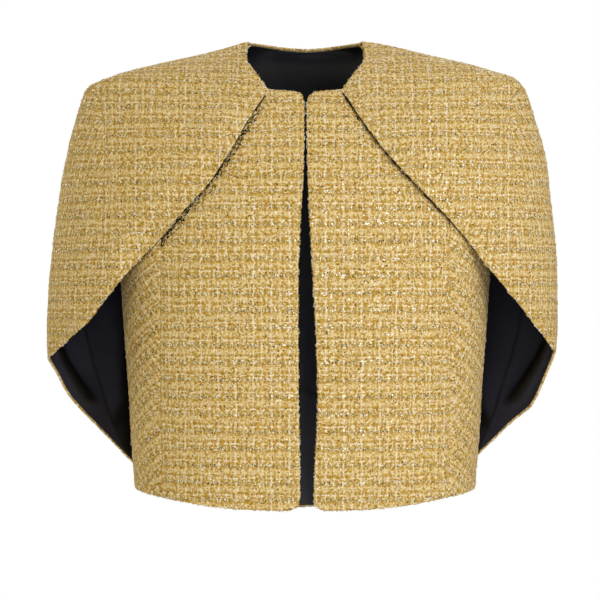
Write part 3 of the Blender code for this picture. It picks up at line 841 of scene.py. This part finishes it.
# deep is both a yarn colour and the painted shade between the yarns
tweedLook = dict(
    deep=colour(162, 119, 16), gold=colour(209, 168, 66), pale=colour(245, 226, 180),
    cream=colour(246, 225, 172), white=colour(252, 245, 226), grey=colour(122, 126, 98),
    # dark is the flecks' colour; dark and black also colour the painted shadow yarn
    dark=colour(46, 34, 22), black=colour(17, 11, 6),
    granule=330.0, fibre=900.0, stroke=560.0, speck=440.0,     # how many in a metre
    repeat=4, columnPitch=4.7,                                 # yarns in a repeat, and from warp to warp
    bump=0.46, bumpDepth=0.0012, wander=0.003,
)


def tweedMaterial():
    look = tweedLook
    material, shader, tree = newMaterial("tweed", specular=0.35)
    straight = weave(tree)
    slow = {"Vector": straight, "Scale": 60.0, "Detail": 1.0}
    wander = node(tree, "TexNoise", slow, noise_dimensions="2D").outputs["Color"]
    swing = node(tree, "VectorMath", {0: wander, 1: (0.5, 0.5, 0.5)}, operation="SUBTRACT").outputs[0]
    swing = node(tree, "VectorMath", {0: swing, "Scale": look["wander"]}, operation="SCALE").outputs[0]
    uv = node(tree, "VectorMath", {0: straight, 1: swing}, operation="ADD").outputs[0]
    parts = node(tree, "SeparateXYZ", {0: uv}).outputs
    x = calc("DIVIDE", parts[0], look["columnPitch"] * mm)
    y = calc("DIVIDE", parts[1], cloth["pitch"] * mm)
    waveX, waveY = (calc("SINE", times(place, math.pi)) for place in (x, y))
    crossing = times(waveX, waveY)      # above 0 the weft lies on top
    hole = calc("MAXIMUM", calc("ABSOLUTE", waveX), calc("ABSOLUTE", waveY))

    def line(place, at, width):
        # a yarn once in every repeat
        phase = calc("FRACT", plus(calc("DIVIDE", place, look["repeat"]), 10.5 - at))
        far = calc("ABSOLUTE", minus(phase, 0.5))
        return minus(1.0, ramp(far, width * 0.5, width))

    # boucle body: granules, short pale strokes both ways, and painted shade in the spaces between the
    # yarns
    granules = noise(uv, look["granule"], 2.0, 0.6)
    fine = noise(uv, look["fibre"], 2.0, 0.6)
    weftStroke = noise(stretched(uv, 0.42, 1.0), look["stroke"])
    warpStroke = noise(stretched(uv, 1.0, 0.32), look["stroke"])
    body = plus(times(granules, 0.6), times(fine, 0.4))
    tone = blend(ramp(body, 0.37, 0.57), look["deep"], look["gold"])
    strokes = calc("MAXIMUM", minus(weftStroke, 0.02), plus(warpStroke, 0.015))
    tone = blend(times(ramp(strokes, 0.53, 0.67), 0.8), tone, look["pale"])
    # painted shade: the deep colour darkens the spaces between the yarns
    paintedGapShade = minus(1.0, ramp(plus(hole, granules), 0.85, 1.25))
    tone = blend(times(paintedGapShade, 0.75), tone, look["deep"])

    # lines of yarn in a repeat: direction, place, width, where they show, how strongly, colour
    patchy = ramp(noise(uv, 300.0), 0.42, 0.56)
    speckled = ramp(noise(uv, 620.0), 0.52, 0.6)
    dashes = ramp(plus(crossing, times(weftStroke, 3.0)), 1.2, 1.8)
    upDashes = ramp(minus(times(warpStroke, 3.0), crossing), 1.0, 1.6)
    stretches = ramp(noise(stretched(uv, 1.0, 0.2), 55.0), 0.35, 0.5)
    for place, at, width, shown, share, name in (
        (y, 0.27, 0.1, patchy, 0.3, "deep"), (x, 0.35, 0.1, patchy, 0.3, "deep"),
        (y, 0.69, 0.1, patchy, 0.3, "deep"), (x, 0.77, 0.1, patchy, 0.3, "deep"),
        (y, 0.49, 0.15, patchy, 0.5, "cream"), (x, 0.57, 0.1, patchy, 0.3, "cream"),
        (y, 0.86, 0.11, speckled, 0.75, "grey"), (y, 0.125, 0.05, dashes, 0.55, "white"),
        (x, 0.125, 0.05, times(upDashes, stretches), 0.5, "white"),
    ):
        tone = blend(times(line(place, at, width), shown, share), tone, look[name])

    # metallic thread and dark flecks
    cells = {"Vector": uv, "Scale": look["speck"]}
    specks = node(tree, "TexVoronoi", cells, voronoi_dimensions="2D").outputs
    kind = node(tree, "SeparateColor", {0: specks["Color"]}).outputs
    ragged = plus(specks["Distance"], times(minus(fine, 0.5), 0.9))
    near = minus(1.0, ramp(ragged, 0.3, 0.46))
    cluster = times(line(y, 0.86, 0.15), line(x, 0.15, 0.24), 0.12)
    pepper = plus(kind[0], times(line(y, 0.86, 0.14), 0.09), cluster)
    dark = times(near, calc("GREATER_THAN", pepper, 0.96))
    tone = blend(times(dark, 0.85), tone, look["dark"])
    glitter = plus(kind[1], times(line(y, 0.9, 0.12), 0.1), cluster)
    bright = times(near, calc("GREATER_THAN", glitter, 0.97))
    tone = blend(bright, tone, look["white"])
    height = plus(times(calc("ABSOLUTE", crossing), 0.35), times(granules, 0.9), times(strokes, 0.6))
    feed(shader, {
        "Base Color": tone, "Metallic": times(bright, 0.5), "Roughness": minus(0.72, times(bright, 0.3)),
        "Normal": bumps(height, look["bump"], look["bumpDepth"]),
        "Sheen Weight": 0.05, "Sheen Roughness": 0.4,
    })
    return material


def looseYarnMaterial():
    look = tweedLook
    material, shader, tree = newMaterial("looseYarn", 0.75, specular=0.25)
    where = inObject(tree)
    twist = noise(where, 2400.0, dimensions="3D")
    tone = blend(ramp(noise(where, 170.0, dimensions="3D"), 0.4, 0.52), look["gold"], look["pale"])
    tone = blend(ramp(noise(where, 110.0, 0.0, dimensions="3D"), 0.5, 0.57), tone, look["white"])
    # darker where the twist's bump is low: painted shade in its hollows
    tone = blend(times(ramp(twist, 0.55, 0.4), 0.4), tone, look["deep"])
    feed(shader, {"Base Color": tone, "Normal": bumps(twist, 0.6, 0.0003)})
    return material


# near-black yarn for the painted shadow under the slanting edges
def shadowYarnMaterial():
    material, shader, tree = newMaterial("darkYarn", 0.8, specular=0.1)
    share = ramp(noise(inObject(tree), 260.0, dimensions="3D"), 0.42, 0.6)
    feed(shader, {"Base Color": blend(share, tweedLook["black"], tweedLook["dark"])})
    return material


# black is the satin's own colour, sheen a painted sheen, fold the near-black of painted shade
satinLook = dict(black=colour(35, 36, 48), sheen=colour(51, 53, 68), fold=colour(4, 4, 5))


def satinMaterial():
    material, shader, tree = newMaterial("satinLining", specular=0.35)
    uv = weave(tree)
    threads = noise(stretched(uv, 0.15, 1.0), 2600.0, 2.0)
    # lighter patches at random, a painted sheen in the satin's colour
    tone = blend(times(noise(uv, 35.0, 2.0), 0.6), satinLook["black"], satinLook["sheen"])
    # painted shade: the fold attribute turns the satin near-black
    fold = node(tree, "Attribute", attribute_name="fold").outputs["Fac"]
    feed(shader, {
        "Base Color": blend(fold, tone, satinLook["fold"]), "Roughness": plus(0.3, times(threads, 0.2)),
        "Normal": bumps(threads, 0.25, 0.0003),
    })
    return material


wireLook = dict(dull=colour(176, 176, 172), clean=colour(226, 226, 222))


def wireMaterial():
    material, shader, tree = newMaterial("silverWire", metal=1.0)
    wear = noise(inObject(tree), 1500.0, 3.0, dimensions="3D")
    feed(shader, {
        "Base Color": blend(wear, wireLook["dull"], wireLook["clean"]),
        "Roughness": plus(0.2, times(wear, 0.25)),
    })
    return material


tweed, satin, wireMetal = tweedMaterial(), satinMaterial(), wireMaterial()
looseYarn, darkYarn = looseYarnMaterial(), shadowYarnMaterial()
print("materials made")


# Cape fronts, from the shoulder seam to the slanting edge

laidEdge = dict(leave=1.4, most=9.0, reach=38.0, seamFade=50.0)


def layDown(points, uv, fromEdges):
    # the cloth beside the slanting edge sinks until it rests on the jacket
    x, y, z = split(points)
    gap = jacketFrontPoint(x, z)[..., 1] - y - cloth["tweed"] - laidEdge["leave"]
    sink = np.clip(gap, 0, laidEdge["most"]) * smooth(1 - fromEdges[..., 3] / laidEdge["reach"])
    return bodySurface(points, uv, fromEdges) - sink * smooth(fromEdges[..., 1] / laidEdge["seamFade"])


# dark yarn that paints the shadow beside and under the slanting edges
edgeShadowEnds = dict(
    every=0.6, length=(1.2, 3.6), radius=(0.25, 0.55), top=-50.0, reach=162.0,
    tight=1.1, wide=dict(left=8.0, right=4.0), wideShare=dict(left=0.55, right=0.3),   # off the edge
    off=(0.76, 0.65), turn=-0.85, spread=0.7, bow=1.6, rise=0.5,
    strand=dict(left=0.7, right=0.95), knot=2.6, knotSize=(0.1, 1.7),
    along=(0, 0.04, 0.5, 0.8, 1), swell=(0.5, 1, 0.9, 0.5, 0.2),
)


def slantingYarn(name):
    # painted shadow: dark yarn ends on the jacket beside the slanting edge, and an uneven dark strand
    # right under it, in place of the shade under the edge
    ends, rng = edgeShadowEnds, np.random.default_rng(3)
    side = -1 if name == "left" else 1
    surface = surfaces["capeFront" + name.title()]
    inner, length = surface["inner"], surface["across"][-1]
    out = unit(inner[-1] - inner[-6])
    knots = np.arange(0, length[-1] + 6, ends["knot"])
    knots = knots + rng.uniform(0, 2, len(knots))
    uneven = np.interp(length, knots, rng.uniform(*ends["knotSize"], len(knots)))
    fade = smooth(length[-1] - length) * np.interp(length / length[-1], ends["along"], ends["swell"])
    strand = ends["strand"][name] * uneven * fade
    lanes, radii = [inner[-1] + out * strand[:, None]], [strand]
    count = round(length[-1] / ends["every"])
    height = ends["top"] - ends["reach"] * rng.random(count) ** 1.15
    away = rng.exponential(ends["tight"], count)
    isWide = rng.random(count) < ends["wideShare"][name]
    away = np.where(isWide, ends["wide"][name] * rng.random(count) ** 1.6, away)
    turn = rng.normal(0, ends["spread"], count) + ends["turn"]
    long = rng.uniform(*ends["length"], count)
    radii.extend(rng.uniform(*ends["radius"], count))
    share = np.linspace(-0.5, 0.5, 4)
    for n in range(count):
        edge, yarn = float(read(slantingEdge, name, height[n])), long[n] * share
        x = edge - away[n] * ends["off"][0] + yarn * math.cos(turn[n])
        z = height[n] - away[n] * ends["off"][1] + yarn * math.sin(turn[n])
        spot = jacketFrontPoint(side * x, z)
        spot[..., 1] += pressedAt(side * x, z) - ends["rise"] + ends["bow"] * np.abs(share)
        lanes.append(spot)
    return tubes("slantingYarn" + name.title(), lanes, radii, darkYarn)


def faced(*edges):
    # the inside is satin further from these edges than the facing reaches
    return lambda fromEdges: fromEdges[..., edges].min(-1) > cloth["facing"]


def satinPanel(name, place, uvAt, **details):
    return panel(name, place, capeLevel, uvAt, (satin,), cell=cloth["satinCell"],
                 thickness=cloth["satin"], under=cloth["tweed"] + cloth["space"], **details)


def capeFront(side):
    name = sideName(side)
    edgeTop = slantingEdge["height"][-1]

    def bottom(u):
        height = edgeTop * (1 - u) + shoulders["seamEnd"] * u
        return stack(side * read(slantingEdge, name, height), height)

    def leftEdge(v):
        height = between(shoulders["neckPoint"], edgeTop, v, ease["neck"])
        return stack(side * read(neckline, "halfWidth", height), height)

    def rightEdge(v):
        return capeSidePoint(side, *frontSeamAt(side, v))[..., [0, 2]]

    place = laidOn(capeFrontPoint, lambda u: ridge(side, u), bottom, leftEdge, rightEdge, ease["drop"])
    piece = panel("capeFront" + name.title(), place, capeLevel, grain(capeFrontPoint, 0, -150.0),
                  (tweed, satin), relief=layDown, facing=faced(0, 3))
    declare(piece, "cape_front_" + name, ("start", "bottom"), 20 + side, [slantingYarn(name)])


# Cape sides, over the arm between two long seams

def capeSidePlace(side, margin=0.0):
    crown = 0.3      # share of the seams that the rounded top takes

    def top(u):
        front = frontSeamAt(side, crown * np.maximum(0, 1 - 2 * u))
        behind = backSeamAt(crown * np.maximum(0, 2 * u - 1))
        return np.where((u < 0.5)[..., None], stack(*front), stack(*behind))

    def bottom(u):
        y, height = sideHemAt(side, u)
        return stack(y, height + margin)

    def leftEdge(v):
        y, height = frontSeamAt(side, crown + (1 - crown) * v)
        return stack(y, height + margin * v)

    def rightEdge(v):
        y, height = backSeamAt(crown + (1 - crown) * v)
        return stack(y, height + margin * v)

    return laidOn(lambda y, height: capeSidePoint(side, y, height), top, bottom, leftEdge, rightEdge)


def capeSide(side):
    name = sideName(side)
    uvAt = grain(lambda y, z: capeSidePoint(side, y, z), 1, -150.0)
    piece = panel("capeSide" + name.title(), capeSidePlace(side), capeLevel, uvAt, (tweed, satin),
                  relief=sideSurface)
    declare(piece, "cape_side_" + name, ("bottom",), 30 + side)
    # the side lining carries painted shade in its fold and along its seam
    lining = satinPanel("sideLining" + name.title(), capeSidePlace(side, cloth["margin"]), uvAt,
                        relief=lambda points, uv, fromEdges: -troughAt(points), foldAt=sideLiningPaintedShade)
    declare(lining, "side_lining_" + name)


# Back of cape and jacket in one

def backPlace(margin=0.0):
    neckShare = 8 / 28      # share of the top edge that the neck takes
    ridgeShare = (1 - neckShare) / 2
    neckHalf = read(cape, "halfWidth", shoulders["neckPoint"])

    def top(u):
        side = np.where(u < 0.5, -1, 1)
        along = np.minimum(u, 1 - u)
        onRidge = ridge(side, np.clip(1 - along / ridgeShare, 0, 1))
        turn = np.clip((u - ridgeShare) / neckShare, 0, 1) * math.pi
        sink = (shoulders["neckPoint"] - shoulders["backNeck"] + margin) * np.sin(turn) ** 2
        neck = stack(-neckHalf * np.cos(turn), shoulders["neckPoint"] - sink)
        return np.where((along <= ridgeShare)[..., None], onRidge, neck)

    def bottom(u):
        offset = backHem["halfWidth"][-1] * (2 * u - 1)
        height = read(backHem, "height", np.abs(offset))
        return stack(lean(height) + offset, height + margin)

    def sideEdge(side):
        def edge(v):
            y, height = backSeamAt(v)
            return capeSidePoint(side, y, height + margin * v)[..., [0, 2]]
        return edge

    return laidOn(capeBackPoint, top, bottom, sideEdge(-1), sideEdge(1), ease["drop"])


def back():
    uvAt = grain(capeBackPoint, 0, -250.0)
    piece = panel("backPanel", backPlace(), capeLevel, uvAt, (tweed, satin), cell=cloth["hiddenCell"],
                  relief=tweedSurface, drape=backDrape)
    declare(piece, "back_panel", ("bottom",), 10)
    # the back lining carries painted shade in its folds, along its seams, inside the neck and behind the
    # jacket
    lining = satinPanel("backLining", backPlace(cloth["margin"]), uvAt, foldAt=backLiningPaintedShade, drape=backDrape)
    declare(lining, "back_lining")


# Jacket fronts, edge to edge at the middle

def shoulderLine(u):
    height = between(frontNeck["height"][0], fronts["armholeTop"], u)
    return stack(read(jacket, "halfWidth", height), height)


def princessLine(v):
    # armhole edge, then the princess seam
    share = fronts["armholeRows"] / fronts["rows"]
    foot = fronts["armholeFoot"]
    above = between(fronts["armholeTop"], foot, np.minimum(1, v / share), 2)
    below = between(foot, sideFrontHem["height"][0], np.maximum(0, (v - share) / (1 - share)))
    height = np.where(v < share, above, below)
    onSeam = stack(read(princessSeam, "halfWidth", height), height)
    start = shoulderLine(np.ones(1))[0]
    lead = np.clip(1 - v / (share / fronts["armholeRows"]), 0, 1)
    offset = start[0] - read(princessSeam, "halfWidth", start[1])
    return onSeam + stack(offset * lead, 0 * lead)


def rounded(spot, corner, radius, side):
    # the square lower corner pulled round into an arc
    x, height = split(spot)
    across, down = radius - side * (x - corner[0]), radius - (height - corner[1])
    pull = np.maximum(across, down) / np.maximum(np.hypot(across, down), 1e-9)
    turnedX = corner[0] + side * (radius - across * pull)
    turnedHeight = corner[1] + radius - down * pull
    inside = (across > 0) & (down > 0)
    return np.where(inside, turnedX, x), np.where(inside, turnedHeight, height)


def centreFront(side):
    name = sideName(side)
    hemHeight = frontHem["height"][0]
    hemStart = float(read(middleEdge, name, hemHeight))
    corner = (side * hemStart, hemHeight)
    sign = np.array([side, 1.0])

    def top(u):
        return shoulderLine(u) * sign

    def bottom(u):
        x = between(hemStart, princessSeam["halfWidth"][0], u)
        return stack(side * x, read(frontHem, "height", x))

    def leftEdge(v):
        row, last = v * fronts["rows"], fronts["rows"] - 1
        neck = stack(read(frontNeck, name, row), read(frontNeck, "height", row))
        share = np.clip((row - fronts["necklineRows"]) / (last - fronts["necklineRows"]), 0, 1)
        height = between(frontNeck["height"][-1], hemHeight + fronts["corner"], share)
        height = height - fronts["corner"] * np.clip(row - last, 0, 1)
        middle = stack(read(middleEdge, name, height), height)
        return np.where((row <= fronts["necklineRows"])[..., None], neck, middle) * sign

    def rightEdge(v):
        return princessLine(v) * sign

    chart = patch(top, bottom, leftEdge, rightEdge, ease["drop"])

    def place(u, v):
        return jacketFrontPoint(*rounded(chart(u, v), corner, fronts["corner"], side))

    piece = panel("centreFront" + name.title(), place, jacketLevel, grain(jacketFrontPoint, 0, -250.0),
                  (tweed, satin), relief=frontSurface, facing=faced(0, 3))
    declare(piece, "centre_front_" + name, ("start", "bottom"), 40 + side)


sideGrain = dict(turn=35, reach=0.8)      # degrees off the straight grain, and round the body


def sideFront(side):
    name = sideName(side)

    def place(u, v):
        height = between(read(armhole, "height", u), read(sideFrontHem, "height", u), v)
        half, depth, flat, fold = jacketSection(False, height)
        behindDepth = jacketSection(True, height)[1]
        start = np.arcsin(np.minimum(1, read(princessSeam, "halfWidth", height) / half) ** (flat / 2))
        end = math.pi - np.arcsin(read(sideBackSeam, "x", height) / half)
        turn = between(start, end, u)
        ahead = turn <= math.pi / 2
        sine, cosine = np.sin(turn), np.abs(np.cos(turn))
        x = half * np.where(ahead, sine ** (2 / flat), sine)
        y = np.where(ahead, -depth * cosine ** (2 / fold), behindDepth * cosine)
        return stack(side * x, y, height)

    def around(points):
        # distance round the body from straight ahead
        x, y, z = split(points)
        turn = np.arctan2(np.abs(x), -y)
        return stack(side * turn * read(jacket, "halfWidth", z) * sideGrain["reach"], z)

    uvAt = turned(around, side * sideGrain["turn"])
    piece = panel("sideFront" + name.title(), place, jacketLevel, uvAt, (tweed, satin),
                  relief=seamedSurface, facing=faced(2, 3))
    declare(piece, "side_front_" + name, ("bottom",), 50 + side)


back()
for side in sides:
    capeFront(side)
    capeSide(side)
    centreFront(side)
    sideFront(side)
print("cloth made")

# Hook and eye inside the top of the front opening
fastening = dict(height=-50.0, halfHeight=2.6, corner=0.6, wire=1.0, near=0.9, far=2.5, tip=0.7)


def wire(name, cadNode, route):
    points = []
    for x, height, depth in route:
        point = jacketFrontPoint(np.array(x), np.array(height))
        normal = outward(jacketLevel, point)
        points.append((point - normal * (cloth["tweed"] + depth)) * mm)
    curve = newCurve(name, fastening["wire"] / 2, 4)
    curve.resolution_u = 8
    spline = curve.splines.new("BEZIER")
    spline.bezier_points.add(len(points) - 1)
    for spot, point in zip(spline.bezier_points, points):
        spot.co = point
        spot.handle_left_type = spot.handle_right_type = "AUTO"
    curve.materials.append(wireMetal)
    piece = added(name, curve)
    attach(piece, "root")
    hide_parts(cadNode)


def hookAndEye():
    f = fastening
    height, near, far, corner = f["height"], f["near"], f["far"], f["corner"]
    low, high = height - f["halfHeight"], height + f["halfHeight"]
    wire("eye", "neck_eye", [
        (-9.0, high, near), (0.2, high, near), (0.8, high - corner, near),
        (0.8, low + corner, near), (0.2, low, near), (-9.0, low, near),
    ])
    wire("hook", "neck_hook", [
        (11.0, height, near), (7.0, height, near), (4.5, height, far),
        (-0.8, height, far), (-2.0, height, 0.5 * (near + far)), (-1.2, height, f["tip"]),
    ])


hookAndEye()
print("fastening made")

# Studio: a pale floor well below, soft lights, the photo's camera. Sizes here are in metres.
studio = dict(
    floor=-1.9, radius=5.5, fadeFrom=2.0, fadeTo=5.2, floorColour=(0.93, 0.93, 0.93, 1),
    ambient=0.245, ambientColour=(1, 0.925, 0.61, 1), aim=(0, 0, -0.24),
    distance=2.5, across=0.66, sensor=36, camera=(-0.0055, -2.5, -0.2596),
)
warm = (1, 0.93, 0.66)
softLights = dict(       # place, size, power, colour
    key=((1.5, -2.4, 0.85), (1.4, 1.4), 39, (0.91, 0.93, 1)),
    fill=((-2.2, -1.75, 0.5), (1.6, 1.6), 8.8, warm),
    front=((0, -2.6, -0.1), (1.4, 1.4), 15, (1, 1, 1)),
    right=((2.6, -0.5, 0.3), (1.2, 1.2), 10, (1, 1, 1)),
    bounce=((0, -2.35, -1.35), (2, 0.8), 4, (1, 1, 1)),
    top=((0, 0.4, 2.3), (2, 2), 12, (1, 1, 1)),
    leftRim=((-2.3, 1.4, 0.5), (1.4, 1.4), 20, warm),
    rear=((0.4, 2.6, 1.2), (2, 1.6), 34, (1, 1, 1)),
)


def floorDisc():
    bm = bmesh.new()
    bmesh.ops.create_circle(bm, cap_ends=True, segments=96, radius=studio["radius"])
    bmesh.ops.translate(bm, verts=bm.verts, vec=(0, 0, studio["floor"]))
    data = bpy.data.meshes.new("floor")
    bm.to_mesh(data)
    bm.free()
    material, shader, tree = newMaterial("paleFloor", 0.9)
    flat = node(tree, "VectorMath", {0: inObject(tree), 1: (1, 1, 0)}, operation="MULTIPLY").outputs[0]
    reach = node(tree, "VectorMath", {0: flat}, operation="LENGTH").outputs["Value"]
    shown = minus(1.0, ramp(reach, studio["fadeFrom"], studio["fadeTo"]))
    feed(shader, {"Base Color": studio["floorColour"], "Alpha": shown})
    data.materials.append(material)
    added("floor", data)


def softLight(name, place, size, power, tint):
    data = bpy.data.lights.new(name, "AREA")
    data.color = tint
    data.shape = "RECTANGLE"
    data.size, data.size_y = size
    data.energy = power
    light = added(name, data)
    light.location = place
    light.rotation_euler = (Vector(studio["aim"]) - Vector(place)).to_track_quat("-Z", "Y").to_euler()


def studioWorld():
    # white behind the garment, and a faint warm light all round
    world = bpy.data.worlds.new("studio")
    world.use_nodes = True
    tree = world.node_tree
    shown = node(tree, "LightPath").outputs["Is Camera Ray"]
    backdrop = node(tree, "Background", {"Color": (1, 1, 1, 1), "Strength": 1.0}).outputs[0]
    ambient = {"Color": studio["ambientColour"], "Strength": studio["ambient"]}
    ambient = node(tree, "Background", ambient).outputs[0]
    both = node(tree, "MixShader", {0: shown, 1: ambient, 2: backdrop}).outputs[0]
    feed(tree.nodes["World Output"], {"Surface": both})
    tree.nodes.remove(tree.nodes["Background"])
    bpy.context.scene.world = world


def photoCamera():
    data = bpy.data.cameras.new("camera")
    data.sensor_width = studio["sensor"]
    data.lens = studio["sensor"] * studio["distance"] / studio["across"]
    camera = added("camera", data)
    camera.location = studio["camera"]
    camera.rotation_euler = (math.pi / 2, 0, 0)
    bpy.context.scene.camera = camera


floorDisc()
for name, settings in softLights.items():
    softLight(name, *settings)
studioWorld()
photoCamera()
bpy.context.scene.view_settings.view_transform = "Standard"
print("studio made")
